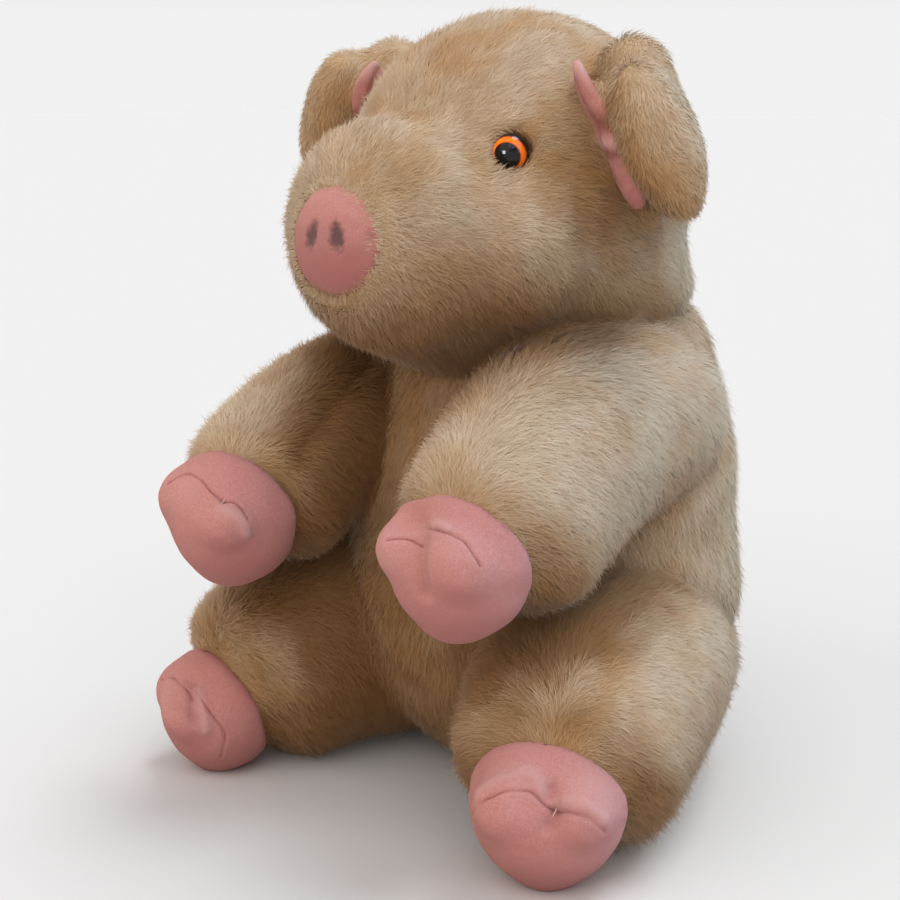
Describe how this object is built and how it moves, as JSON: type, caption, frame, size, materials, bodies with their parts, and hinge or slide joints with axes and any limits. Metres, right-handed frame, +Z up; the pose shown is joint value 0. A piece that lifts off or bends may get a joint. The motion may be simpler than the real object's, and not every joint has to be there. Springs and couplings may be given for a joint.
{
  "type": "plush toy pig",
  "caption": "Sitting plush pig in cream fur, with a pink velour snout, ear linings and cloven hooves and amber plastic eyes.",
  "frame": {"origin": "bottom centre of the bounding box, on the floor the toy sits on", "axes": "+Z up, -Y the way the trunk faces, +X the pig's own left"},
  "size_m": [0.2096, 0.2262, 0.2681],
  "materials": {
    "fur": "cream faux fur with pile of about 8 mm",
    "velour": "pink short-nap velour",
    "eye": "glossy plastic, black pupil on an amber iris"
  },
  "bodies": {
    "root": {"trunk": "fur", "head": "fur", "snout": "velour", "eye_left": "eye", "eye_right": "eye", "ear_left": "fur", "ear_right": "fur", "ear_lining_left": "velour", "ear_lining_right": "velour", "foreleg_left": "fur", "foreleg_right": "fur", "fore_hoof_left": "velour", "fore_hoof_right": "velour", "hind_leg_left": "fur", "hind_leg_right": "fur", "hind_hoof_left": "velour", "hind_hoof_right": "velour", "tail": "velour"}
  },
  "joints": []
}
